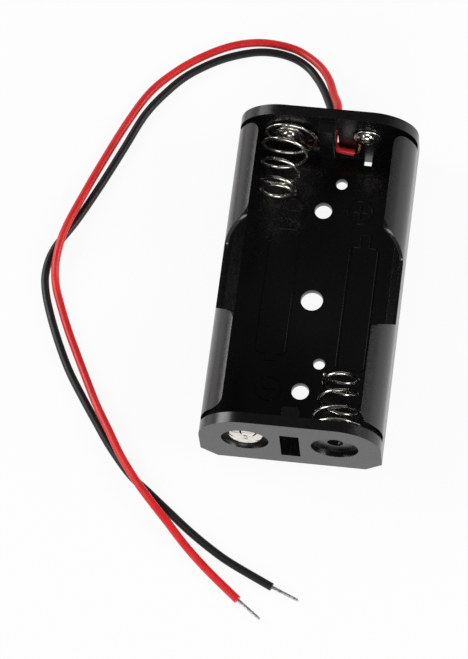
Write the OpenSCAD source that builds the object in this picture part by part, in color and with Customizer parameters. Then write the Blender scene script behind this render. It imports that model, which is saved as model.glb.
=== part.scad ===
// Open holder for two cylindrical cells side by side, wired in series, with two flying leads.
// X runs across the bays, Y along the cells towards the lead end, Z up from the underside.

/* [Cells] */
// Diameter of each cell
cell_d = 14.5; // [13.9:0.1:15.1]
// Length of each cell, button included
cell_l = 50.5; // [48.5:0.5:54.5]
// Free width between the two cells
cell_gap = 0.6; // [0.3:0.1:1.2]
// Length in each bay for the contacts at both ends
contact_room = 4.3; // [3.8:0.1:6]

/* [Tray] */
// Thickness of the two end walls
end_wall = 1.85; // [1.7:0.05:2.4]
// Thickness of the side walls and of the clips
side_wall = 0.6; // [0.5:0.05:0.9]
// Thickness of the floor
floor_t = 1.3; // [1:0.1:1.8]
// How far the clips bite into the cells' outline
clip_grip = 0.05; // [0:0.05:0.2]
// Bevel along the tray's lower edges
edge_bevel = 2.8; // [2:0.1:3.2]
// Height of the low side walls between the clips
side_low_h = 9.5; // [7:0.5:10.5]

/* [Clips] */
// How far each clip reaches in over its cell
clip_reach = 3.75; // [2.5:0.25:4.25]
// Slit between a clip and the end wall
clip_slit = 1; // [0.6:0.1:1.5]
// Corner radius of the clips at the slit
clip_corner_r = 2; // [1:0.25:2.5]
// Foot of the lead-end clips, measured from the middle
lead_clip_foot = 5.2; // [4:0.1:7]
// Foot of the link-end clips, measured from the middle
link_clip_foot = 6.4; // [5:0.1:8]
// Slope of the lead-end clips' shoulders, in degrees
lead_clip_slope = 56; // [50:1:70]
// Slope of the link-end clips' shoulders, in degrees
link_clip_slope = 66; // [55:1:75]
// Radius at the top of the lead-end clips' shoulders
lead_shoulder_r = 4; // [3:0.25:5]
// Radius at the top of the link-end clips' shoulders
link_shoulder_r = 2.5; // [1.5:0.25:3.5]
// Fillet at the foot of the lead-end clips
lead_clip_fillet = 1.5; // [0.5:0.25:2.5]

/* [Holes] */
// Diameter of the two screw holes
screw_d = 3; // [2.5:0.1:3.6]
// Distance between the two screw holes
screw_pitch = 33.7; // [30:0.1:36]
// Diameter of the middle hole
middle_d = 3.8; // [3:0.1:4.5]
// Diameter of the two pin holes
pin_d = 2; // [1.4:0.1:2.4]
// Pin hole's distance from its screw hole, across the tray
pin_dx = 2.6; // [2.3:0.1:3.5]
// Pin hole's distance from its screw hole, along the tray
pin_dy = 5.3; // [4:0.1:6]
// Side of the square hole under the positive contact
square_hole = 1.3; // [1:0.1:1.6]

/* [Wire passages] */
// Width of the window through each end wall
window_w = 3.25; // [3:0.05:3.6]
// Height of the window's sill above the underside
window_sill = 3.1; // [2.5:0.1:3.6]
// Height of the window
window_h = 8.8; // [7.5:0.1:9.2]
// Width of the strap that bridges each window on the inside
strap_w = 2.8; // [2.2:0.1:3]
// Thickness of the strap
strap_t = 0.75; // [0.6:0.05:1]
// Radius on the strap's two edges
strap_edge_r = 0.4; // [0.2:0.05:0.6]
// How far the straps' heads stay below the rim
strap_drop = 1.2; // [0:0.1:2]
// Clear depth between the end wall and the strap
strap_gap = 1.45; // [1.3:0.05:1.6]

/* [Rivets] */
// Diameter of the rivet's flange
flange_d = 4.9; // [4.2:0.1:5.2]
// Thickness of the flange
flange_t = 0.4; // [0.3:0.05:0.5]
// Diameter of the dome in the flange
dome_d = 2.7; // [2.2:0.1:3]
// Height of the dome above the flange
dome_h = 0.95; // [0.6:0.05:1.2]
// Diameter of the rivet's tube
tube_d = 2.5; // [2.1:0.1:2.6]
// Diameter across the turned-over petals
petal_d = 6.5; // [5.5:0.1:7]
// Width of the slits between the petals
petal_slit = 0.5; // [0.3:0.05:0.7]
// Wall thickness of the rivet's tube and petals
rivet_wall = 0.3; // [0.2:0.05:0.35]
// Turn of the petals round the rivet, in degrees
petal_turn = 15; // [0:5:55]
// Diameter of the recess round the petals
recess_d = 8; // [7.5:0.1:8.4]
// Depth of the recess
recess_depth = 1; // [0.85:0.05:1.1]
// How far the lead rivets sit in from the cell's axis
lead_rivet_in = 0.9; // [0:0.1:1.2]
// How far the lead rivets sit above the cell's axis
lead_rivet_up = 1.9; // [0:0.1:2]

/* [Springs] */
// Diameter of the spring wire
wire_d = 0.6; // [0.5:0.05:0.7]
// Outer diameter of the spring's base turn
spring_base_d = 9.8; // [9:0.1:10]
// Outer diameter of the spring's free turn
spring_tip_d = 6.3; // [5.5:0.1:7]
// Free length of the springs, from the end wall
spring_l = 11.5; // [9:0.1:13]
// Radius of the wire loop under a rivet, at the wire's middle
loop_r = 1.72; // [1.7:0.02:1.8]

/* [Leads] */
// Outer diameter of the leads
lead_d = 1.4; // [1.2:0.05:1.45]
// Outer diameter of the insulation squeezed behind the strap
squeezed_d = 1.2; // [1:0.05:1.25]
// Diameter of the tinned ends
tip_d = 0.6; // [0.4:0.05:0.8]
// Diameter of the copper bundle at each lead rivet
strand_d = 0.5; // [0.3:0.05:0.55]

/* [Hidden] */
$fn = 64;

over = 1;            // how far cuts run past what they cut
seat_gap = 0.03;     // clearance of a piece on its seat
tube_gap = 0.1;      // radial clearance of a rivet tube in its hole
sweep_sides = 8;     // sides of every swept wire and lead
wind_step = 15;      // angle between two rings of a winding

pitch = cell_d + cell_gap;
bay_x = pitch / 2;
axis_z = floor_t + cell_d / 2;
clip_inner_r = cell_d / 2 - clip_grip;
clip_outer_r = clip_inner_r + side_wall;
tray_w = pitch + 2 * clip_outer_r;
tray_h = axis_z + clip_outer_r;
room_l = cell_l + contact_room;
tray_l = room_l + 2 * end_wall;
wall_y = room_l / 2;         // inner face of the end walls
face_y = tray_l / 2;         // outer face of the end walls
web_y = face_y - recess_depth;
web_t = end_wall - recess_depth;
clip_edge_x = tray_w / 2 - clip_reach;
clip_tip_z = axis_z + sqrt(pow(clip_outer_r, 2) - pow(clip_edge_x - bay_x, 2));
strap_y = wall_y - strap_gap - strap_t;

lead_rivet_x = bay_x - lead_rivet_in;
lead_rivet_z = axis_z + lead_rivet_up;
tube_hole_d = tube_d + 2 * tube_gap;
wire_seat = seat_gap + wire_d / 2;              // wire's middle when it lies on the wall
clamp_over_wire = wire_d + 2 * seat_gap;        // flange's back when it clamps a wire

// Where the two leads leave the window, and how far their ends reach behind the strap
red_exit_x = 0.8;
red_exit_z = 7.2;
red_root_reach = 4.3;
black_exit_x = -0.7;
black_exit_z = 6;
black_root_reach = 2.5;

// Route of the red lead's middle, from the window down to the bench and round the tray
red_route = [
    [0.8, 31.2, 7.2], [0.7, 34.6, 6], [-0.5, 37.7, 4.5], [-1.7, 40.9, 3.2],
    [-3.5, 43.8, 1.9], [-6.2, 46.2, 1], [-9.4, 47.7, 0.7], [-14.6, 48.2, 0.7],
    [-19.9, 47, 0.7], [-25.2, 44.1, 0.7], [-29.5, 40.6, 0.7], [-33.1, 36.4, 0.7],
    [-36.3, 30, 0.8], [-39.7, 21.4, 1.1], [-42.2, 14, 1.9], [-43.6, 9.6, 2.2],
    [-44.4, 6, 2.2], [-44.7, 2, 1.6], [-44.2, -1.5, 0.9], [-42.9, -5, 0.7],
    [-40.9, -9.6, 0.7], [-38.6, -14.2, 0.7], [-36.2, -18.9, 1], [-33.9, -23.3, 1.8],
    [-31.4, -27.4, 2.2], [-28.7, -31.8, 2.2], [-25.7, -35.8, 2.2], [-22.9, -39, 2.2],
    [-19.4, -42.6, 1.7], [-15.7, -46.4, 0.9], [-11.4, -50.3, 0.7], [-6, -54.7, 0.7]
];

// Route of the black lead's middle
black_route = [
    [-0.7, 31, 6], [-0.6, 34.4, 4.4], [-1.5, 37, 3.4], [-2.7, 39.6, 2.4],
    [-4, 41.8, 1.5], [-5.8, 44, 0.8], [-8.4, 45.6, 0.7], [-12, 46.4, 0.7],
    [-16, 46.1, 0.7], [-21.3, 44.2, 0.7], [-26.4, 40.9, 0.7], [-29.9, 37.2, 0.7],
    [-33.2, 32.3, 0.7], [-36, 25.5, 0.7], [-39, 18.3, 0.7], [-42.3, 11.1, 0.7],
    [-45.4, 5.4, 0.7], [-46.3, 1.1, 0.7], [-45.8, -2.8, 0.7], [-44.1, -7.7, 0.7],
    [-41.8, -12.9, 0.7], [-39.5, -17.3, 0.7], [-36.7, -21.6, 0.7], [-33.8, -25.8, 0.7],
    [-30.8, -30, 0.7], [-26.8, -34.6, 0.7], [-23.3, -37.4, 0.7], [-19.3, -40.6, 0.7],
    [-15.6, -43.5, 0.7], [-11.7, -46.2, 0.7], [-7.8, -48.5, 0.7], [-0.6, -51.9, 0.7]
];

// ---------- outlines ----------

// Points of an arc round c from angle a0 to a1
function arc(c, r, a0, a1, n) =
    [for (i = [0:n]) let (a = a0 + (a1 - a0) * i / n) [c[0] + r * cos(a), c[1] + r * sin(a)]];

// Outer section of the tray, in X and Z
module outer_section() {
    for (side = [-1, 1]) translate([side * bay_x, axis_z]) circle(clip_outer_r);
    translate([-bay_x, axis_z]) square([pitch, clip_outer_r]);
    translate([-tray_w / 2, edge_bevel]) square([tray_w, axis_z - edge_bevel]);
    polygon([
        [-tray_w / 2 + edge_bevel, 0], [tray_w / 2 - edge_bevel, 0],
        [tray_w / 2, edge_bevel], [-tray_w / 2, edge_bevel]
    ]);
}

// Hollow section: flat floor, bevelled foot, upright sides, clips over the cells, open top
module hollow_section() {
    side_x = tray_w / 2 - side_wall;
    foot = edge_bevel - floor_t + side_wall * (sqrt(2) - 1);
    polygon([
        [-side_x + foot, floor_t], [side_x - foot, floor_t],
        [side_x, floor_t + foot], [side_x, axis_z], [-side_x, axis_z], [-side_x, floor_t + foot]
    ]);
    for (side = [-1, 1]) translate([side * bay_x, axis_z]) circle(clip_inner_r);
    translate([-clip_edge_x, axis_z]) square([2 * clip_edge_x, tray_h]);
}

// Side view of one clip's shoulder, as the area that is open above the low side wall.
// It starts in the middle of the tray and runs out to a foot, a slope and a round top.
module shoulder_opening(foot_y, slope, top_r, fillet) {
    centre_z = clip_tip_z + seat_gap - top_r;
    tangent_z = centre_z + top_r * cos(slope);
    tangent_y = foot_y + (tangent_z - side_low_h) / tan(slope);
    centre_y = tangent_y + top_r * sin(slope);
    fillet_c = [foot_y - fillet * tan(slope / 2), side_low_h + fillet];
    polygon(concat(
        [[-over, side_low_h]],
        fillet > 0 ? arc(fillet_c, fillet, -90, slope - 90, 8) : [[foot_y, side_low_h]],
        arc([centre_y, centre_z], top_r, 90 + slope, 90, 12),
        [[centre_y, tray_h + over], [-over, tray_h + over]]
    ));
}

// Plan of the slit between one clip and the end wall, with the clip's round corner
module slit_plan() {
    clip_end_y = wall_y - clip_slit;
    start_y = clip_end_y - clip_corner_r;
    difference() {
        translate([clip_edge_x - over, start_y])
            square([clip_reach + 2 * over, clip_corner_r + clip_slit]);
        translate([clip_edge_x + clip_corner_r, start_y]) circle(clip_corner_r);
        translate([clip_edge_x + clip_corner_r, start_y - over])
            square([clip_reach + over, clip_corner_r + over]);
    }
}

// ---------- tray ----------

// Lays a section in X and Z along Y, from y0 over a length
module along_y(y0, length) {
    translate([0, y0 + length, 0]) rotate([90, 0, 0]) linear_extrude(length) children();
}

// A round cut along Y
module bore_y(x, z, d, y0, length) {
    translate([x, y0, z]) rotate([-90, 0, 0]) cylinder(d = d, h = length);
}

// Strap that bridges a window: foot and head on the wall, clear in between
module strap(end) {
    corner_x = strap_w / 2 - strap_edge_r;
    mirror([0, end < 0 ? 1 : 0, 0]) difference() {
        linear_extrude(tray_h - strap_drop) polygon(concat(
            [[strap_w / 2, wall_y + end_wall / 2], [-strap_w / 2, wall_y + end_wall / 2]],
            arc([-corner_x, strap_y + strap_edge_r], strap_edge_r, 180, 270, 6),
            arc([corner_x, strap_y + strap_edge_r], strap_edge_r, 270, 360, 6)
        ));
        translate([-strap_w / 2 - over, wall_y - strap_gap, window_sill])
            cube([strap_w + 2 * over, strap_gap + end_wall, window_h]);
    }
}

module end_wall_cuts() {
    for (side = [-1, 1]) {
        bore_y(side * lead_rivet_x, lead_rivet_z, tube_hole_d, wall_y - over, end_wall + 2 * over);
        bore_y(side * lead_rivet_x, lead_rivet_z, recess_d, web_y, recess_depth + over);
        bore_y(side * bay_x, axis_z, tube_hole_d, -face_y - over, end_wall + 2 * over);
        bore_y(side * bay_x, axis_z, recess_d, -face_y - over, recess_depth + over);
    }
    for (end = [-1, 1]) translate([-window_w / 2, end * (wall_y + end_wall / 2) - end_wall, window_sill])
        cube([window_w, 2 * end_wall, window_h]);
}

module floor_holes() {
    for (end = [-1, 1]) translate([0, end * screw_pitch / 2, -over]) {
        cylinder(d = screw_d, h = floor_t + 2 * over);
        translate([pin_dx, pin_dy, 0]) cylinder(d = pin_d, h = floor_t + 2 * over);
    }
    translate([0, 0, -over]) cylinder(d = middle_d, h = floor_t + 2 * over);
    translate([lead_rivet_x - square_hole / 2, wall_y - square_hole, -over])
        cube([square_hole, square_hole, floor_t + 2 * over]);
}

module clip_cuts() {
    for (side = [-1, 1]) mirror([side < 0 ? 1 : 0, 0, 0]) {
        for (end = [-1, 1]) mirror([0, end < 0 ? 1 : 0, 0])
            translate([0, 0, axis_z]) linear_extrude(tray_h) slit_plan();
        translate([clip_edge_x - over, 0, 0]) rotate([90, 0, 90])
            linear_extrude(clip_reach + 2 * over)
                shoulder_opening(lead_clip_foot, lead_clip_slope, lead_shoulder_r, lead_clip_fillet);
        translate([clip_edge_x - over, 0, 0]) mirror([0, 1, 0]) rotate([90, 0, 90])
            linear_extrude(clip_reach + 2 * over)
                shoulder_opening(link_clip_foot, link_clip_slope, link_shoulder_r, 0);
    }
}

module tray() {
    color([0.05, 0.05, 0.05]) {
        difference() {
            along_y(-face_y, tray_l) outer_section();
            along_y(-wall_y, room_l) hollow_section();
            clip_cuts();
            end_wall_cuts();
            floor_holes();
        }
        for (end = [-1, 1]) strap(end);
    }
}

// ---------- rivets ----------

// Half section of a rivet, with the flange's back at height 0 and the dome pointing up.
// The tube runs down through the grip and turns over into the petals.
module rivet_section(grip) {
    rim_r = flange_t / 2;
    tube_r = tube_d / 2;
    bore_r = tube_r - rivet_wall;
    polygon(concat(
        [[0, flange_t + dome_h]],
        [for (i = [1:10]) let (a = 90 - 9 * i) [dome_d / 2 * cos(a), flange_t + dome_h * sin(a)]],
        arc([flange_d / 2 - rim_r, rim_r], rim_r, 90, -90, 6),
        [[tube_r, 0], [tube_r, -grip], [petal_d / 2, -grip], [petal_d / 2, -grip - rivet_wall]],
        arc([tube_r + rivet_wall / 2, -grip + rivet_wall / 2], 1.5 * rivet_wall, -90, -180, 5),
        [[bore_r, -flange_t], [0, -flange_t]]
    ));
}

module rivet(grip) {
    difference() {
        rotate_extrude() rivet_section(grip);
        for (i = [0:5]) rotate([0, 0, 60 * i + petal_turn])
            translate([tube_d / 2 + tube_gap, -petal_slit / 2, -grip - recess_depth])
                cube([petal_d, petal_slit, 2 * recess_depth]);
    }
}

module rivet_negative() {
    color([0.72, 0.7, 0.66])
        translate([-lead_rivet_x, wall_y - clamp_over_wire, lead_rivet_z]) rotate([90, 0, 0])
            rivet(clamp_over_wire + web_t + seat_gap);
}

module rivet_positive() {
    color([0.72, 0.7, 0.66])
        translate([lead_rivet_x, wall_y - seat_gap, lead_rivet_z]) rotate([90, 0, 0])
            rivet(web_t + 2 * seat_gap);
}

module rivet_link() {
    color([0.72, 0.7, 0.66])
        translate([-bay_x, -wall_y + clamp_over_wire, axis_z]) rotate([-90, 0, 0])
            rivet(clamp_over_wire + web_t + seat_gap);
}

// ---------- wires, leads and strands ----------

function unit(v) = v / norm(v);

// Direction of a route at point i
function heading(p, i) =
    i == 0 ? unit(p[1] - p[0]) :
    i == len(p) - 1 ? unit(p[i] - p[i - 1]) :
    unit(unit(p[i + 1] - p[i]) + unit(p[i] - p[i - 1]));

// A round tube along a route of points; upright is a direction the route never takes
module swept(p, d, upright) {
    n = len(p);
    rings = [for (i = [0:n - 1])
        let (t = heading(p, i), a = unit(cross(upright, t)), b = cross(t, a))
        for (k = [0:sweep_sides - 1])
            let (turn = 360 * (k + 0.5) / sweep_sides)
            p[i] + d / 2 * (cos(turn) * a + sin(turn) * b)];
    walls = [for (i = [0:n - 2], k = [0:sweep_sides - 1])
        let (k2 = (k + 1) % sweep_sides, lo = i * sweep_sides, hi = lo + sweep_sides)
        each [[lo + k, hi + k, hi + k2], [lo + k, hi + k2, lo + k2]]];
    polyhedron(
        points = rings,
        faces = concat(
            [[for (k = [0:sweep_sides - 1]) k]],
            walls,
            [[for (k = [sweep_sides - 1:-1:0]) (n - 1) * sweep_sides + k]]
        )
    );
}

// Value between the stations of a table whose first column is the winding angle
function between(table, a, i = 0) =
    i >= len(table) - 2 || a >= table[i + 1][0] ?
        let (s = (a - table[i][0]) / (table[i + 1][0] - table[i][0]))
        table[i] + s * (table[i + 1] - table[i]) :
    between(table, a, i + 1);

// Points of a winding; each station holds angle, radius, centre in X and in Z, and Y
function winding(table, step) =
    let (a0 = table[0][0], a1 = table[len(table) - 1][0], n = round((a0 - a1) / step))
    [for (i = [0:n]) let (s = between(table, a0 + (a1 - a0) * i / n))
        [s[2] + s[1] * cos(s[0]), s[4], s[3] + s[1] * sin(s[0])]];

// Contact spring of the lead end: loop under its rivet, out to the base turn, then the cone
module spring_lead_end() {
    x0 = -lead_rivet_x;
    x1 = -bay_x;
    base_r = (spring_base_d - wire_d) / 2;
    tip_r = (spring_tip_d - wire_d) / 2;
    y = wall_y - wire_seat;
    rise = y - (wall_y - spring_l + wire_d / 2);
    color([0.75, 0.73, 0.68]) swept(winding([
        [285, loop_r, x0, lead_rivet_z, y],
        [0, loop_r, x0, lead_rivet_z, y],
        [-90, loop_r + 0.42 * (base_r - loop_r), x0, lead_rivet_z - 0.6, y],
        [-180, loop_r + 0.8 * (base_r - loop_r), x0, lead_rivet_z - 1.25, y],
        [-270, base_r, x0, axis_z + 0.2, y - 0.01 * rise],
        [-450, base_r, x0, axis_z + 0.2, y - 0.1 * rise],
        [-630, tip_r + 0.65 * (base_r - tip_r), x0 + 0.5 * (x1 - x0), axis_z + 0.1, y - 0.24 * rise],
        [-990, tip_r + 0.22 * (base_r - tip_r), x1, axis_z, y - 0.56 * rise],
        [-1350, tip_r, x1, axis_z, y - 0.86 * rise],
        [-1440, tip_r, x1, axis_z, y - 0.92 * rise],
        [-1800, tip_r, x1, axis_z, y - rise]
    ], wind_step), wire_d, [0, 1, 0]);
}

// Contact spring of the link end, in one wire with the link to the other bay
module spring_link_end() {
    base_r = (spring_base_d - wire_d) / 2;
    tip_r = (spring_tip_d - wire_d) / 2;
    y = -wall_y + wire_seat;
    rise = spring_l - wire_d / 2 - wire_seat;
    loop = winding([
        [360, loop_r, -bay_x, axis_z, y],
        [75, loop_r, -bay_x, axis_z, y]
    ], wind_step);
    link = [
        [-bay_x + 2.2, y, axis_z + 1.75],
        [-bay_x + 4.2, y, axis_z + 1.8],
        [-1.4, y, axis_z + 1.9],
        [0.6, y, axis_z + 2.1],
        [2.4, y, axis_z + 2.6]
    ];
    cone = winding([
        [135, base_r, bay_x, axis_z, y],
        [90, base_r, bay_x, axis_z, y + 0.002 * rise],
        [-270, base_r, bay_x - 0.1, axis_z, y + 0.11 * rise],
        [-630, tip_r + 0.55 * (base_r - tip_r), bay_x - 0.2, axis_z, y + 0.35 * rise],
        [-990, tip_r + 0.12 * (base_r - tip_r), bay_x - 0.35, axis_z, y + 0.65 * rise],
        [-1260, tip_r, bay_x - 0.35, axis_z, y + 0.88 * rise],
        [-1350, tip_r, bay_x - 0.35, axis_z, y + 0.94 * rise],
        [-1620, tip_r, bay_x - 0.35, axis_z, y + rise]
    ], wind_step);
    color([0.75, 0.73, 0.68]) swept(concat(loop, link, cone), wire_d, [0, 1, 0]);
}

module red_lead() {
    color([0.85, 0.1, 0.1]) swept(concat([[red_exit_x, face_y, red_exit_z]], red_route), lead_d, [0, 0, 1]);
}

module black_lead() {
    color([0.06, 0.06, 0.06])
        swept(concat([[black_exit_x, face_y, black_exit_z]], black_route), lead_d, [0, 0, 1]);
}

// Bare end that carries on from the last point of a route
module bare_tip(route, end) {
    last = route[len(route) - 1];
    ahead = unit(end - last);
    color([0.7, 0.7, 0.7]) swept([last + seat_gap * ahead, (last + end) / 2, end], tip_d, [0, 0, 1]);
}

module red_lead_tip() {
    bare_tip(red_route, [-1.9, -57.7, lead_d / 2]);
}

module black_lead_tip() {
    bare_tip(black_route, [4.1, -53.8, lead_d / 2]);
}

// Route of an insulated end inside the tray: in through the window, down and out behind the strap
function root_route(side, exit, drop, reach) =
    let (y = wall_y - strap_gap / 2, turned_x = exit[0] + side * 0.95)
    [
        [exit[0], face_y - seat_gap, exit[1]],
        [exit[0], wall_y + 0.5, exit[1]],
        [exit[0] + side * 0.05, wall_y - 0.15, exit[1] - 0.2 * drop],
        [exit[0] + side * 0.35, y + 0.05, exit[1] - 0.45 * drop],
        [turned_x, y, exit[1] - 0.65 * drop],
        [(turned_x + side * reach) / 2, y, exit[1] - 0.85 * drop],
        [side * reach, y, exit[1] - drop]
    ];

red_root = root_route(1, [red_exit_x, red_exit_z], 2.2, red_root_reach);
black_root = root_route(-1, [black_exit_x, black_exit_z], 0.5, black_root_reach);

module red_lead_root() {
    color([0.85, 0.1, 0.1]) swept(red_root, squeezed_d, [0, 0, 1]);
}

module black_lead_root() {
    color([0.06, 0.06, 0.06]) swept(black_root, squeezed_d, [0, 0, 1]);
}

// Copper bundle from an insulated end, straight on at first and then by the given steps
module strands(root, steps) {
    last = root[len(root) - 1];
    ahead = unit(last - root[len(root) - 2]);
    color([0.8, 0.5, 0.3])
        swept(
            concat([last + seat_gap * ahead, last + 0.3 * ahead], [for (s = steps) last + s]),
            strand_d, [1, 0.2, 0]
        );
}

module red_strands() {
    foot = lead_rivet_z - flange_d / 2 - strand_d - red_root[6][2];
    strands(red_root, [
        [0.75, -0.15, 0.2], [0.95, -0.1, 0.35 * foot], [1.05, 0.1, 0.8 * foot], [1.1, 0.35, foot]
    ]);
}

module black_strands() {
    strands(black_root, [
        [-0.7, 0.2, -0.05], [-1.2, 0.3, 0.3], [-1.7, 0.2, 1], [-2, -0.15, 2], [-2.1, -0.15, 2.7]
    ]);
}

tray();
spring_lead_end();
spring_link_end();
rivet_negative();
rivet_positive();
rivet_link();
red_lead();
black_lead();
red_lead_tip();
black_lead_tip();
red_lead_root();
black_lead_root();
red_strands();
black_strands();
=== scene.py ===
"""Looks for the holder for two cylindrical cells. Metres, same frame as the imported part."""
import math

import bmesh
import bpy
from mathutils import Matrix, Vector

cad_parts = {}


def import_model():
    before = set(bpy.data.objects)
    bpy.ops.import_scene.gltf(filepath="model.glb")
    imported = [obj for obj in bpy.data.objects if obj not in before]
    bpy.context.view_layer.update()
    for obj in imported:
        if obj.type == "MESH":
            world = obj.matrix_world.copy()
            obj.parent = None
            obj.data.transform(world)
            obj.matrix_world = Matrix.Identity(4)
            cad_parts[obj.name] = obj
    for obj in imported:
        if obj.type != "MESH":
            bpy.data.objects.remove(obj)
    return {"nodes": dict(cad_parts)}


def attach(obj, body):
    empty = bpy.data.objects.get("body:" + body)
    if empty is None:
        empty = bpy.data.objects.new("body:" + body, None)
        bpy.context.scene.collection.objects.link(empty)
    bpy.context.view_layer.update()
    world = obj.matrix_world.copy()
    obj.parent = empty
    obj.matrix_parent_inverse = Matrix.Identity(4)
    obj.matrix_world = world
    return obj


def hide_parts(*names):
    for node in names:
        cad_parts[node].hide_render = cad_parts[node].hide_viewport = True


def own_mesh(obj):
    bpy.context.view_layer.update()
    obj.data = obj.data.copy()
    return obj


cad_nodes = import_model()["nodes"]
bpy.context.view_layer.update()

MM = 0.001


def mm(points):
    return [Vector(p) * MM for p in points]


# ---------------------------------------------------------------- camera

def make_camera():
    az, el, roll = math.radians(14.781), math.radians(67.162), math.radians(-8.229)
    back = Vector((math.sin(az) * math.cos(el), -math.cos(az) * math.cos(el), math.sin(el)))
    target = Vector((-11.978, -9.055, 7.0)) * MM
    ahead = -back
    right = ahead.cross(Vector((0, 0, 1))).normalized()
    up = right.cross(ahead)
    r = right * math.cos(roll) + up * math.sin(roll)
    u = -right * math.sin(roll) + up * math.cos(roll)
    place = target + back * 0.6909
    data = bpy.data.cameras.new("camera")
    data.sensor_fit = "AUTO"
    data.sensor_width = 36
    data.lens = 4084.9 / 659 * 36
    data.clip_start = 0.05
    data.clip_end = 20
    cam = bpy.data.objects.new("camera", data)
    bpy.context.scene.collection.objects.link(cam)
    cam.matrix_world = Matrix((
        (r.x, u.x, back.x, place.x),
        (r.y, u.y, back.y, place.y),
        (r.z, u.z, back.z, place.z),
        (0, 0, 0, 1),
    ))
    bpy.context.scene.camera = cam


# ---------------------------------------------------------------- mesh helpers

def add_object(name, mesh):
    obj = bpy.data.objects.new(name, mesh)
    bpy.context.scene.collection.objects.link(obj)
    return obj


def smooth_curve(points, steps):
    """Points of a Catmull-Rom curve through the given points."""
    out = []
    n = len(points)
    for i in range(n - 1):
        p0 = points[max(i - 1, 0)]
        p1, p2 = points[i], points[i + 1]
        p3 = points[min(i + 2, n - 1)]
        for k in range(steps):
            t = k / steps
            out.append(0.5 * (2 * p1 + (p2 - p0) * t
                              + (2 * p0 - 5 * p1 + 4 * p2 - p3) * t * t
                              + (3 * p1 - p0 - 3 * p2 + p3) * t * t * t))
    out.append(points[-1].copy())
    return out


def path_length(points):
    return sum((b - a).length for a, b in zip(points, points[1:]))


def tube_into(bm, points, radius, sides=12, cap=0.0):
    """Adds a round tube along the points; radius is a number or a function of 0..1.
    cap rounds both ends over that share of the radius."""
    n = len(points)
    total = path_length(points) or 1
    tangents = []
    for i in range(n):
        a = points[max(i - 1, 0)]
        b = points[min(i + 1, n - 1)]
        tangents.append((b - a).normalized())
    side = tangents[0].orthogonal().normalized()
    rings = []
    done = 0.0
    for i in range(n):
        if i:
            done += (points[i] - points[i - 1]).length
            turn = tangents[i - 1].rotation_difference(tangents[i])
            side = turn @ side
            side = (side - side.dot(tangents[i]) * tangents[i]).normalized()
        other = tangents[i].cross(side)
        rad = radius(done / total) if callable(radius) else radius
        rings.append([
            bm.verts.new(points[i] + rad * (math.cos(a) * side + math.sin(a) * other))
            for a in (2 * math.pi * k / sides for k in range(sides))
        ])
    for lo, hi in zip(rings, rings[1:]):
        for k in range(sides):
            k2 = (k + 1) % sides
            bm.faces.new((lo[k], lo[k2], hi[k2], hi[k]))
    for ring, t, first in ((rings[0], -tangents[0], True), (rings[-1], tangents[-1], False)):
        if cap:
            centre = sum((v.co for v in ring), Vector()) / sides
            last = ring
            for level in (1, 2):
                a = level * math.pi / 6
                new = [bm.verts.new(centre + (v.co - centre) * math.cos(a)
                                    + t * (v.co - centre).length * cap * math.sin(a)) for v in ring]
                for k in range(sides):
                    k2 = (k + 1) % sides
                    quad = (last[k], last[k2], new[k2], new[k])
                    bm.faces.new(tuple(reversed(quad)) if first else quad)
                last = new
            ring = last
        bm.faces.new(tuple(reversed(ring)) if first else tuple(ring))


def finish_mesh(name, bm, smooth=True, angle=40):
    bmesh.ops.recalc_face_normals(bm, faces=bm.faces)
    mesh = bpy.data.meshes.new(name)
    bm.to_mesh(mesh)
    bm.free()
    obj = add_object(name, mesh)
    if smooth:
        for p in mesh.polygons:
            p.use_smooth = True
        mesh.set_sharp_from_angle(angle=math.radians(angle))
    return obj


def tube_object(name, points, radius, sides=12, cap=0.0):
    bm = bmesh.new()
    tube_into(bm, points, radius, sides, cap)
    return finish_mesh(name, bm)


# ---------------------------------------------------------------- cords

RED_ROUTE = mm([
    (0.8, 29.25, 7.2),
    (0.8, 31.2, 7.2), (0.7, 34.6, 6), (-0.5, 37.7, 4.5), (-1.7, 40.9, 3.2),
    (-3.5, 43.8, 1.9), (-6.2, 46.2, 1), (-9.4, 47.7, 0.7), (-14.6, 48.2, 0.7),
    (-19.9, 47, 0.7), (-25.2, 44.1, 0.7), (-29.5, 40.6, 0.7), (-33.1, 36.4, 0.7),
    (-36.3, 30, 0.8), (-39.7, 21.4, 1.1), (-42.2, 14, 1.9), (-43.6, 9.6, 2.2),
    (-44.4, 6, 2.2), (-44.7, 2, 1.6), (-44.2, -1.5, 0.9), (-42.9, -5, 0.7),
    (-40.9, -9.6, 0.7), (-38.6, -14.2, 0.7), (-36.2, -18.9, 1), (-33.9, -23.3, 1.8),
    (-31.4, -27.4, 2.2), (-28.7, -31.8, 2.2), (-25.7, -35.8, 2.2), (-22.9, -39, 2.2),
    (-19.4, -42.6, 1.7), (-15.7, -46.4, 0.9), (-11.4, -50.3, 0.7), (-6, -54.7, 0.7),
])
BLACK_ROUTE = mm([
    (-0.7, 29.25, 6),
    (-0.7, 31, 6), (-0.6, 34.4, 4.4), (-1.5, 37, 3.4), (-2.7, 39.6, 2.4),
    (-4, 41.8, 1.5), (-5.8, 44, 0.8), (-8.4, 45.6, 0.7), (-12, 46.4, 0.7),
    (-16, 46.1, 0.7), (-21.3, 44.2, 0.7), (-26.4, 40.9, 0.7), (-29.9, 37.2, 0.7),
    (-33.2, 32.3, 0.7), (-36, 25.5, 0.7), (-39, 18.3, 0.7), (-42.3, 11.1, 0.7),
    (-45.4, 5.4, 0.7), (-46.3, 1.1, 0.7), (-45.8, -2.8, 0.7), (-44.1, -7.7, 0.7),
    (-41.8, -12.9, 0.7), (-39.5, -17.3, 0.7), (-36.7, -21.6, 0.7), (-33.8, -25.8, 0.7),
    (-30.8, -30, 0.7), (-26.8, -34.6, 0.7), (-23.3, -37.4, 0.7), (-19.3, -40.6, 0.7),
    (-15.6, -43.5, 0.7), (-11.7, -46.2, 0.7), (-7.8, -48.5, 0.7), (-0.6, -51.9, 0.7),
])
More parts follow.
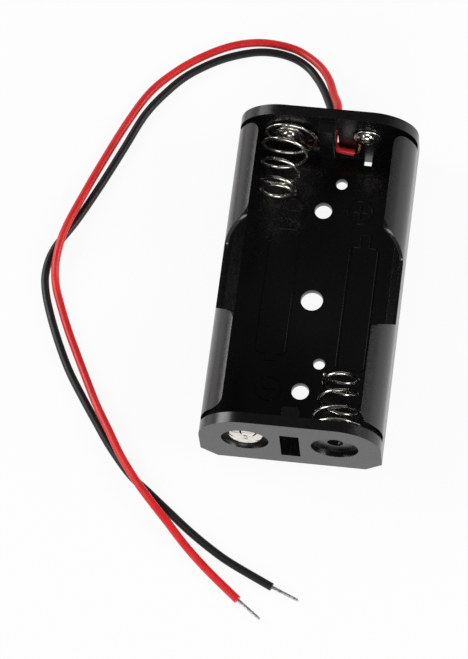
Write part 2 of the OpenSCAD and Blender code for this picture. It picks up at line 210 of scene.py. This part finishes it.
LEAD_R = 0.7 * MM


def bare_tip(name, route, end, node):
    """The tinned end: a few strands twisted and dipped, one slightly wavy tube each."""
    last = route[-1]
    ahead = (end - last).normalized()
    start = last + ahead * 0.00003
    length = (end - start).length
    side = ahead.cross(Vector((0, 0, 1))).normalized()
    up = side.cross(ahead)
    bm = bmesh.new()
    for k in range(7):
        pts = []
        for i in range(25):
            t = i / 24
            a = 2 * math.pi * (k / 6 + 0.9 * t)
            r = 0.0 if k == 6 else 0.00019 * (1 - 0.25 * t)
            pts.append(start + ahead * length * t * (1 if k == 6 else 0.985 - 0.006 * k)
                       + r * (math.cos(a) * side + math.sin(a) * up))
        tube_into(bm, pts, 0.000115, 8, 0.6)
    tip = finish_mesh(name, bm)
    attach(tip, "holder")
    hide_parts(node)
    return tip


def make_cords():
    pieces = {}
    for colour, route, end in (
        ("red", RED_ROUTE, Vector((-1.9, -57.7, 0.7)) * MM),
        ("black", BLACK_ROUTE, Vector((4.1, -53.8, 0.7)) * MM),
    ):
        path = smooth_curve(route, 7)
        for p in path:
            p.z = max(p.z, LEAD_R)
        lead = tube_object(colour + "_insulation", path, LEAD_R, 20)
        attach(lead, "holder")
        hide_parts(colour + "_lead")
        tip = bare_tip(colour + "_tinned_end", route, end, colour + "_lead_tip")
        pieces[colour] = (lead, tip)
    return pieces


make_camera()
CORDS = make_cords()


# ---------------------------------------------------------------- materials

def new_material(name):
    mat = bpy.data.materials.new(name)
    mat.use_nodes = True
    nt = mat.node_tree
    nt.nodes.clear()
    out = nt.nodes.new("ShaderNodeOutputMaterial")
    bsdf = nt.nodes.new("ShaderNodeBsdfPrincipled")
    nt.links.new(bsdf.outputs[0], out.inputs[0])
    return mat, nt, bsdf


def noise(nt, scale, detail=4, rough=0.5, stretch=(1, 1, 1)):
    coord = nt.nodes.new("ShaderNodeTexCoord")
    mapping = nt.nodes.new("ShaderNodeMapping")
    mapping.inputs["Scale"].default_value = stretch
    tex = nt.nodes.new("ShaderNodeTexNoise")
    tex.inputs["Scale"].default_value = scale
    tex.inputs["Detail"].default_value = detail
    tex.inputs["Roughness"].default_value = rough
    nt.links.new(coord.outputs["Object"], mapping.inputs[0])
    nt.links.new(mapping.outputs[0], tex.inputs["Vector"])
    return tex


def ramp(nt, source, stops):
    node = nt.nodes.new("ShaderNodeValToRGB")
    els = node.color_ramp.elements
    while len(els) > 1:
        els.remove(els[-1])
    for i, (at, colour) in enumerate(stops):
        el = els[0] if i == 0 else els.new(at)
        el.position = at
        el.color = (*colour, 1) if len(colour) == 3 else colour
    nt.links.new(source, node.inputs[0])
    return node


def grey(v):
    return (v, v, v)


def bump(nt, bsdf, source, strength, distance):
    node = nt.nodes.new("ShaderNodeBump")
    node.inputs["Strength"].default_value = strength
    node.inputs["Distance"].default_value = distance
    nt.links.new(source, node.inputs["Height"])
    nt.links.new(node.outputs[0], bsdf.inputs["Normal"])
    return node


def moulded_black():
    """Glossy black styrene: faint flow ripple, fine dust scratches in the gloss."""
    mat, nt, bsdf = new_material("moulded_black")
    flow = noise(nt, 140, 3, 0.55, (1, 0.35, 1))
    tint = ramp(nt, flow.outputs[0], [(0.3, (0.003, 0.003, 0.0032)), (0.75, (0.0055, 0.0055, 0.0058))])
    nt.links.new(tint.outputs[0], bsdf.inputs["Base Color"])
    fine = noise(nt, 1500, 4, 0.6)
    rough = ramp(nt, fine.outputs[0], [(0.3, grey(0.2)), (0.7, grey(0.3))])
    nt.links.new(rough.outputs[0], bsdf.inputs["Roughness"])
    bump(nt, bsdf, flow.outputs[0], 0.12, 0.00012)
    bsdf.inputs["IOR"].default_value = 1.55
    return mat


def insulation(name, dark, light, rough_a, rough_b):
    mat, nt, bsdf = new_material(name)
    tex = noise(nt, 260, 4, 0.55)
    tint = ramp(nt, tex.outputs[0], [(0.3, dark), (0.72, light)])
    nt.links.new(tint.outputs[0], bsdf.inputs["Base Color"])
    fine = noise(nt, 2200, 3, 0.6)
    rough = ramp(nt, fine.outputs[0], [(0.3, grey(rough_a)), (0.7, grey(rough_b))])
    nt.links.new(rough.outputs[0], bsdf.inputs["Roughness"])
    bump(nt, bsdf, tex.outputs[0], 0.25, 0.0001)
    return mat


def plated(name, dark, light, rough_a, rough_b, scale=900, depth=0.00002):
    mat, nt, bsdf = new_material(name)
    tex = noise(nt, scale, 5, 0.6)
    tint = ramp(nt, tex.outputs[0], [(0.3, dark), (0.7, light)])
    nt.links.new(tint.outputs[0], bsdf.inputs["Base Color"])
    rough = ramp(nt, tex.outputs[0], [(0.3, grey(rough_a)), (0.7, grey(rough_b))])
    nt.links.new(rough.outputs[0], bsdf.inputs["Roughness"])
    bsdf.inputs["Metallic"].default_value = 1.0
    bump(nt, bsdf, tex.outputs[0], 0.2, depth)
    return mat


MATS = {
    "moulding": moulded_black(),
    "red_insulation": insulation("red_pvc", (0.7, 0.012, 0.016), (0.85, 0.03, 0.03), 0.34, 0.46),
    "black_insulation": insulation("black_pvc", (0.003, 0.003, 0.0033), (0.006, 0.006, 0.0063), 0.4, 0.52),
    "tinned_ends": plated("tinned", (0.55, 0.55, 0.56), (0.74, 0.74, 0.74), 0.3, 0.5, 1400),
    "spring_wire": plated("nickel_wire", (0.66, 0.62, 0.56), (0.82, 0.79, 0.74), 0.16, 0.28),
    "rivets": plated("nickel_rivet", (0.7, 0.66, 0.6), (0.84, 0.81, 0.76), 0.14, 0.26),
    "copper": plated("copper_strand", (0.8, 0.42, 0.18), (0.95, 0.62, 0.3), 0.18, 0.3),
}


def dress(obj, slot_name):
    obj.data.materials.clear()
    obj.data.materials.append(MATS[slot_name])


for colour in ("red", "black"):
    dress(CORDS[colour][0], colour + "_insulation")
    dress(CORDS[colour][1], "tinned_ends")


# ---------------------------------------------------------------- tray

def make_tray():
    """The CAD tray with its edges rounded as a mould leaves them."""
    bm = bmesh.new()
    bm.from_mesh(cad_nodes["tray"].data)
    bmesh.ops.remove_doubles(bm, verts=bm.verts, dist=0.000004)
    bmesh.ops.dissolve_limit(bm, angle_limit=math.radians(1.5), verts=bm.verts, edges=bm.edges,
                             delimit={"NORMAL"})
    tray = finish_mesh("tray_moulding", bm, smooth=False)
    bevel = tray.modifiers.new("edge", "BEVEL")
    bevel.width = 0.00014
    bevel.segments = 2
    bevel.limit_method = "ANGLE"
    bevel.angle_limit = math.radians(32)
    bevel.use_clamp_overlap = True
    even = tray.modifiers.new("even", "WEIGHTED_NORMAL")
    even.mode = "FACE_AREA"
    even.weight = 100
    even.keep_sharp = True
    with_edges(tray)
    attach(tray, "holder")
    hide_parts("tray")
    dress(tray, "moulding")
    return tray


def with_edges(obj):
    """Applies the modifiers, so that the mesh itself has the rounded edges."""
    for p in obj.data.polygons:
        p.use_smooth = True
    bpy.context.view_layer.update()
    deps = bpy.context.evaluated_depsgraph_get()
    mesh = bpy.data.meshes.new_from_object(obj.evaluated_get(deps))
    obj.modifiers.clear()
    obj.data = mesh


# ---------------------------------------------------------------- relief on the floor

FLOOR = 1.3 * MM


def ridge_into(bm, points, width, height, closed=False, z=FLOOR):
    """A raised line on the floor with sloped sides; points are (x, y) in millimetres."""
    pts = [Vector((x, y, 0)) * MM for x, y in points]
    n = len(pts)
    rows = []
    for i in range(n):
        if closed:
            a, b = pts[i - 1], pts[(i + 1) % n]
        else:
            a, b = pts[max(i - 1, 0)], pts[min(i + 1, n - 1)]
        t = (b - a).normalized()
        side = Vector((-t.y, t.x, 0))
        here = pts[i]
        w, h = width * MM / 2, height * MM
        rows.append([
            bm.verts.new(here + side * w + Vector((0, 0, z - 0.00002))),
            bm.verts.new(here + side * w * 0.55 + Vector((0, 0, z + h))),
            bm.verts.new(here - side * w * 0.55 + Vector((0, 0, z + h))),
            bm.verts.new(here - side * w + Vector((0, 0, z - 0.00002))),
        ])
    last = n if closed else n - 1
    for i in range(last):
        lo, hi = rows[i], rows[(i + 1) % n]
        for k in range(4):
            k2 = (k + 1) % 4
            bm.faces.new((lo[k], hi[k], hi[k2], lo[k2]))
    if not closed:
        bm.faces.new(rows[0])
        bm.faces.new(list(reversed(rows[-1])))


def ring_points(x, y, r, n=40):
    return [(x + r * math.cos(2 * math.pi * i / n), y + r * math.sin(2 * math.pi * i / n)) for i in range(n)]


def make_relief():
    """Cell outlines and polarity signs, raised a little from the floor."""
    bm = bmesh.new()
    for x, y, plus in ((-5.4, -16.8, True), (6.4, 17.2, True), (-5.1, 16.5, False), (5.4, -16.8, False)):
        ridge_into(bm, ring_points(x, y, 2.15), 0.36, 0.16, closed=True)
        ridge_into(bm, [(x - 1.2, y), (x + 1.2, y)], 0.4, 0.16)
        if plus:
            ridge_into(bm, [(x, y - 1.2), (x, y + 1.2)], 0.4, 0.18)
    for x0, x1, y0, y1, nub in ((-8.4, -3.4, -10.4, 12.9, -1), (5.5, 10.3, -12.2, 10.6, 1)):
        c, mid, w = 0.5, (x0 + x1) / 2, 0.8
        if nub < 0:
            outline = [
                (x0 + c, y1), (x1 - c, y1), (x1, y1 - c), (x1, y0 + c), (x1 - c, y0), (mid + w, y0),
                (mid + w, y0 - 1.3), (mid - w, y0 - 1.3), (mid - w, y0),
                (x0 + c, y0), (x0, y0 + c), (x0, y1 - c),
            ]
        else:
            outline = [
                (x0 + c, y0), (x1 - c, y0), (x1, y0 + c), (x1, y1 - c), (x1 - c, y1), (mid + w, y1),
                (mid + w, y1 + 2.4), (mid - w, y1 + 2.4), (mid - w, y1),
                (x0 + c, y1), (x0, y1 - c), (x0, y0 + c),
            ]
        ridge_into(bm, outline, 0.34, 0.15, closed=True)
    relief = finish_mesh("floor_relief", bm, angle=30)
    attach(relief, "holder")
    dress(relief, "moulding")


# ---------------------------------------------------------------- springs

WALL_Y = 27.4
WIRE_R = 0.3
LOOP_R = 1.72
BASE_R = 4.6
TIP_R = 2.85
BAY_X = 7.55
AXIS_Z = 8.55
RIVET_X = 6.65
RIVET_Z = 10.45
WIRE_SEAT = 0.33     # the wire's middle, off the wall it lies on
SPRING_L = 11.5      # free length from the end wall


def winding(stations, step=6.0):
    """Points of a winding; each station holds angle, radius, centre x and z, and y, in millimetres.
    Values run smoothly between the stations."""
    out = []
    a0, a1 = stations[0][0], stations[-1][0]
    n = max(2, round(abs(a1 - a0) / step))
    for i in range(n + 1):
        a = a0 + (a1 - a0) * i / n
        k = 0
        while k < len(stations) - 2 and a < stations[k + 1][0]:
            k += 1
        s = (a - stations[k][0]) / (stations[k + 1][0] - stations[k][0])
        st = [p + s * (q - p) for p, q in zip(stations[k], stations[k + 1])]
        out.append(Vector((st[2] + st[1] * math.cos(math.radians(a)), st[4],
                           st[3] + st[1] * math.sin(math.radians(a)))))
    return out


def ease(points, times=2):
    """Softens kinks of a wire without moving its ends."""
    pts = [p.copy() for p in points]
    for _ in range(times):
        pts = [pts[0]] + [(a + 2 * b + c) / 4 for a, b, c in zip(pts, pts[1:], pts[2:])] + [pts[-1]]
    return pts


def lead_spring_path():
    y = WALL_Y - WIRE_SEAT
    rise = y - (WALL_Y - SPRING_L + WIRE_R)
    x0, x1 = -RIVET_X, -BAY_X
    return winding([
        (285, LOOP_R, x0, RIVET_Z, y),
        (0, LOOP_R, x0, RIVET_Z, y),
        (-90, LOOP_R + 0.42 * (BASE_R - LOOP_R), x0, RIVET_Z - 0.6, y),
        (-180, LOOP_R + 0.8 * (BASE_R - LOOP_R), x0, RIVET_Z - 1.25, y),
        (-270, BASE_R, x0, AXIS_Z + 0.2, y - 0.01 * rise),
        (-450, BASE_R, x0, AXIS_Z + 0.2, y - 0.1 * rise),
        (-630, TIP_R + 0.65 * (BASE_R - TIP_R), x0 + 0.5 * (x1 - x0), AXIS_Z + 0.1, y - 0.24 * rise),
        (-990, TIP_R + 0.22 * (BASE_R - TIP_R), x1, AXIS_Z, y - 0.56 * rise),
        (-1350, TIP_R, x1, AXIS_Z, y - 0.86 * rise),
        (-1440, TIP_R, x1, AXIS_Z, y - 0.92 * rise),
        (-1800, TIP_R, x1, AXIS_Z, y - rise),
    ])


def link_spring_path():
    y = -WALL_Y + WIRE_SEAT
    rise = SPRING_L - WIRE_R - WIRE_SEAT
    loop = winding([(360, LOOP_R, -BAY_X, AXIS_Z, y), (75, LOOP_R, -BAY_X, AXIS_Z, y)])
    link = [
        Vector((-BAY_X + 2.2, y, AXIS_Z + 1.75)), Vector((-BAY_X + 4.2, y, AXIS_Z + 1.8)),
        Vector((-1.4, y, AXIS_Z + 1.9)), Vector((0.6, y, AXIS_Z + 2.1)), Vector((2.4, y, AXIS_Z + 2.6)),
    ]
    cone = winding([
        (135, BASE_R, BAY_X, AXIS_Z, y),
        (90, BASE_R, BAY_X, AXIS_Z, y + 0.002 * rise),
        (-270, BASE_R, BAY_X - 0.1, AXIS_Z, y + 0.11 * rise),
        (-630, TIP_R + 0.55 * (BASE_R - TIP_R), BAY_X - 0.2, AXIS_Z, y + 0.35 * rise),
        (-990, TIP_R + 0.12 * (BASE_R - TIP_R), BAY_X - 0.35, AXIS_Z, y + 0.65 * rise),
        (-1260, TIP_R, BAY_X - 0.35, AXIS_Z, y + 0.88 * rise),
        (-1350, TIP_R, BAY_X - 0.35, AXIS_Z, y + 0.94 * rise),
        (-1620, TIP_R, BAY_X - 0.35, AXIS_Z, y + rise),
    ])
    span = smooth_curve([loop[-2], loop[-1]] + link + [cone[0], cone[1]], 6)
    start = 6
    return loop[:-1] + span[start:-start] + cone, len(loop) + len(span) - 2 * start


def split_wire(name, path, at, body, node):
    """The coil moves with its joint; the loop and the part on the wall stay with the tray."""
    path = ease([p * MM for p in path])
    fixed = tube_object(name + "_clamped_wire", path[:at + 1], WIRE_R * MM, 14, 0.5)
    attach(fixed, "holder")
    dress(fixed, "spring_wire")
    coil = tube_object(name + "_coil", path[at:], WIRE_R * MM, 14, 0.5)
    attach(coil, body)
    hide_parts(node)
    dress(coil, "spring_wire")
    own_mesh(coil)
    return coil


def make_springs():
    path = lead_spring_path()
    at = min(range(len(path)), key=lambda i: abs(i * 6 - (285 + 270)))
    split_wire("lead_end", path, at, "lead_end_spring", "spring_lead_end")
    path, at = link_spring_path()
    split_wire("link_end", path, at + 7, "link_end_spring", "spring_link_end")


# ---------------------------------------------------------------- rivets

def lathe_into(bm, profile, place, sides=64):
    """Turns (radius, height) points about an axis; place maps a local point to the frame."""
    rings = []
    for r, h in profile:
        if r < 1e-9:
            rings.append([bm.verts.new(place(Vector((0, 0, h))))])
        else:
            rings.append([bm.verts.new(place(Vector((r * math.cos(2 * math.pi * k / sides),
                                                     r * math.sin(2 * math.pi * k / sides), h))))
                          for k in range(sides)])
    for lo, hi in zip(rings, rings[1:]):
        for k in range(sides):
            k2 = (k + 1) % sides
            if len(lo) == 1 and len(hi) == 1:
                continue
            if len(lo) == 1:
                bm.faces.new((lo[0], hi[k], hi[k2]))
            elif len(hi) == 1:
                bm.faces.new((lo[k], lo[k2], hi[0]))
            else:
                bm.faces.new((lo[k], lo[k2], hi[k2], hi[k]))


def petals_into(bm, place, grip, turn, count=6):
    """The tube's end, split and rolled outwards into petals round a smooth hollow middle."""
    rim_r, t = 3.25 * MM, 0.3 * MM
    sector = 2 * math.pi / count
    rows = 12

    def mid(s):
        """Mid-line of the sheet: out of the hollow, over the lip and down towards the recess."""
        r = 0.35 * MM + (rim_r - 0.42 * MM) * s
        lift = 0.62 * MM * (1 - (2 * max(0.0, s - 0.52) / 0.96) ** 2) if s > 0.52 else \
            0.62 * MM - 0.5 * MM * (1 - s / 0.52) ** 2
        return r, lift

    for p in range(count):
        top, low = [], []
        for i in range(rows + 1):
            s = i / rows
            r, lift = mid(s)
            gap = 0.0 if s < 0.56 else (0.10 + 0.13 * (s - 0.56) / 0.44) * MM / r
            ring_t, ring_l = [], []
            cols = 8
            for k in range(cols + 1):
                a = turn + p * sector - sector / 2 + gap + (sector - 2 * gap) * k / cols
                edge = abs(2 * k / cols - 1)
                rr = r - (0.12 * MM * edge ** 4 if s > 0.9 else 0)
                x, y = rr * math.cos(a), rr * math.sin(a)
                ring_t.append(bm.verts.new(place(Vector((x, y, -grip - lift - t * 0.4)))))
                ring_l.append(bm.verts.new(place(Vector((x, y, -grip - lift + t * 0.4)))))
            top.append(ring_t)
            low.append(ring_l)
        for rows_ in (top, low):
            for lo, hi in zip(rows_, rows_[1:]):
                for k in range(len(lo) - 1):
                    bm.faces.new((lo[k], lo[k + 1], hi[k + 1], hi[k]))
        for i in range(rows):
            for k in (0, -1):
                bm.faces.new((top[i][k], top[i + 1][k], low[i + 1][k], low[i][k]))
        for k in range(len(top[0]) - 1):
            bm.faces.new((top[-1][k], top[-1][k + 1], low[-1][k + 1], low[-1][k]))
    lathe_into(bm, [(0, -grip - 0.1 * MM), (0.2 * MM, -grip - 0.11 * MM), (0.42 * MM, -grip - 0.16 * MM)], place)


def make_rivet(name, node, x, y, z, side, grip):
    """side is +1 where the dome points along +Y and -1 where it points along -Y."""
    centre = Vector((x, y, z)) * MM

    def place(p):
        return centre + Vector((p.x, side * p.z, p.y))

    f, d, h, t = 2.45 * MM, 1.35 * MM, 0.95 * MM, 0.4 * MM
    profile = [(0, t + h)]
    for i in range(1, 13):
        a = math.pi / 2 * i / 12
        profile.append((d * math.sin(a), t + h * math.cos(a) ** 0.85 if i < 12 else t + 0.03 * MM))
    tube_end = -grip * MM - 0.2 * MM
    profile += [
        (d + 0.1 * MM, t), (f - 0.5 * MM, t), (f - 0.24 * MM, t * 0.97), (f - 0.1 * MM, t * 0.86),
        (f - 0.02 * MM, t * 0.64), (f, t * 0.45), (f - 0.03 * MM, t * 0.22), (f - 0.12 * MM, t * 0.06),
        (f - 0.25 * MM, 0), (1.25 * MM, 0), (1.25 * MM, tube_end), (0.9 * MM, tube_end),
    ]
    bm = bmesh.new()
    lathe_into(bm, profile, place)
    petals_into(bm, place, grip * MM, math.radians(15))
    rivet = finish_mesh(name, bm, angle=50)
    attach(rivet, "holder")
    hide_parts(node)
    dress(rivet, "rivets")


def make_rivets():
    make_rivet("negative_rivet", "rivet_negative", -RIVET_X, WALL_Y - 0.66, RIVET_Z, -1, 1.54)
    make_rivet("positive_rivet", "rivet_positive", RIVET_X, WALL_Y - 0.03, RIVET_Z, -1, 0.91)
    make_rivet("link_rivet", "rivet_link", -BAY_X, -WALL_Y + 0.66, AXIS_Z, 1, 1.54)


# ---------------------------------------------------------------- insulated ends and strands

def make_roots():
    """The insulated ends inside the tray, down and out behind the strap."""
    for colour, side, ex, ez, drop, reach in (
        ("red", 1, 0.8, 7.2, 2.2, 4.3),
        ("black", -1, -0.7, 6.0, 0.5, 2.5),
    ):
        y = WALL_Y - 0.725
        tx = ex + side * 0.95
        pts = mm([
            (ex, 29.22, ez), (ex, WALL_Y + 0.5, ez), (ex + side * 0.05, WALL_Y - 0.15, ez - 0.2 * drop),
            (ex + side * 0.35, y + 0.05, ez - 0.45 * drop), (tx, y, ez - 0.65 * drop),
            ((tx + side * reach) / 2, y, ez - 0.85 * drop), (side * reach, y, ez - drop),
        ])
        root = tube_object(colour + "_inner_end", smooth_curve(pts, 5), 0.6 * MM, 18)
        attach(root, "holder")
        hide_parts(colour + "_lead_root")
        dress(root, colour + "_insulation")


def make_strands():
    """Fine copper strands, spread and bent each its own way."""
    red = mm([
        (4.1, 26.67, 5.05), (4.8, 26.5, 5.1), (5.15, 26.5, 5.8), (5.3, 26.75, 6.8), (5.35, 27.0, 7.7),
    ])
    black = mm([
        (-2.3, 26.65, 5.6), (-3.1, 26.85, 5.5), (-3.8, 26.95, 5.9), (-4.3, 26.75, 6.9), (-4.6, 26.5, 8.1),
    ])
    for colour, line in (("red", red), ("black", black)):
        bm = bmesh.new()
        for k in range(9):
            pts = []
            a = k * 2.4
            for i, p in enumerate(line):
                spread = (0.05 + 0.055 * i) * MM * (0.6 + 0.4 * math.sin(k * 1.7))
                pts.append(p + Vector((math.cos(a + i * 0.9) * spread, math.sin(a * 1.3 + i) * spread * 0.5,
                                       math.sin(a + i * 0.9) * spread)))
            tube_into(bm, smooth_curve(pts, 5), 0.055 * MM, 6, 0.5)
        bundle = finish_mesh(colour + "_copper", bm)
        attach(bundle, "holder")
        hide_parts(colour + "_strands")
        dress(bundle, "copper")


make_tray()
make_relief()
make_springs()
make_rivets()
make_roots()
make_strands()


# ---------------------------------------------------------------- stage and light

BENCH_GLOW = 0.92    # share of plain white in the bench, as the camera and mirrors see it
SKY = [(0.0, grey(0.6)), (0.2, grey(0.5)), (0.45, grey(0.2)), (0.8, grey(0.06)), (1.0, grey(0.05))]


def make_stage():
    """White bench and a soft sky, pale at the horizon and dim overhead, as in a light tent."""
    mesh = bpy.data.meshes.new("floor")
    s, z = 1.6, -0.00005
    mesh.from_pydata([(-s, -s, z), (s, -s, z), (s, s, z), (-s, s, z)], [], [(0, 1, 2, 3)])
    floor = add_object("floor", mesh)
    mat, nt, bsdf = new_material("white_bench")
    bsdf.inputs["Base Color"].default_value = (0.93, 0.93, 0.93, 1)
    bsdf.inputs["Roughness"].default_value = 0.6
    glow = nt.nodes.new("ShaderNodeEmission")
    glow.inputs[0].default_value = (1, 1, 1, 1)
    glow.inputs[1].default_value = 1.0
    seen = seen_directly(nt)
    share = nt.nodes.new("ShaderNodeMath")
    share.operation = "MULTIPLY"
    share.inputs[1].default_value = BENCH_GLOW
    nt.links.new(seen, share.inputs[0])
    mix = nt.nodes.new("ShaderNodeMixShader")
    nt.links.new(share.outputs[0], mix.inputs[0])
    nt.links.new(bsdf.outputs[0], mix.inputs[1])
    nt.links.new(glow.outputs[0], mix.inputs[2])
    nt.links.new(mix.outputs[0], nt.nodes["Material Output"].inputs[0])
    mesh.materials.append(mat)

    world = bpy.data.worlds.new("studio")
    bpy.context.scene.world = world
    world.use_nodes = True
    nt = world.node_tree
    nt.nodes.clear()
    out = nt.nodes.new("ShaderNodeOutputWorld")
    coord = nt.nodes.new("ShaderNodeTexCoord")
    split = nt.nodes.new("ShaderNodeSeparateXYZ")
    nt.links.new(coord.outputs["Generated"], split.inputs[0])
    sky = ramp(nt, split.outputs["Z"], SKY)
    back = nt.nodes.new("ShaderNodeBackground")
    nt.links.new(sky.outputs[0], back.inputs[0])
    nt.links.new(back.outputs[0], out.inputs[0])


def seen_directly(nt):
    """1 for rays from the camera, or by way of a mirror or glass."""
    path = nt.nodes.new("ShaderNodeLightPath")
    last = path.outputs["Is Camera Ray"]
    for name in ("Is Glossy Ray", "Is Transmission Ray"):
        either = nt.nodes.new("ShaderNodeMath")
        either.operation = "MAXIMUM"
        nt.links.new(last, either.inputs[0])
        nt.links.new(path.outputs[name], either.inputs[1])
        last = either.outputs[0]
    return last


def softbox(name, place, aim, size, power):
    data = bpy.data.lights.new(name, "AREA")
    data.shape = "RECTANGLE"
    data.size, data.size_y = size
    data.energy = power
    lamp = bpy.data.objects.new(name, data)
    bpy.context.scene.collection.objects.link(lamp)
    lamp.location = place
    lamp.rotation_euler = (Vector(aim) - Vector(place)).to_track_quat("-Z", "Y").to_euler()


make_stage()
softbox("left", (-0.75, 0.15, 0.5), (0, 0, 0), (0.5, 0.5), 5)
softbox("right", (0.75, -0.05, 0.45), (0, 0, 0), (0.4, 0.4), 4)
softbox("front", (0.1, -0.8, 0.45), (0, 0, 0), (0.5, 0.3), 3)

bpy.context.scene.view_settings.view_transform = "Standard"
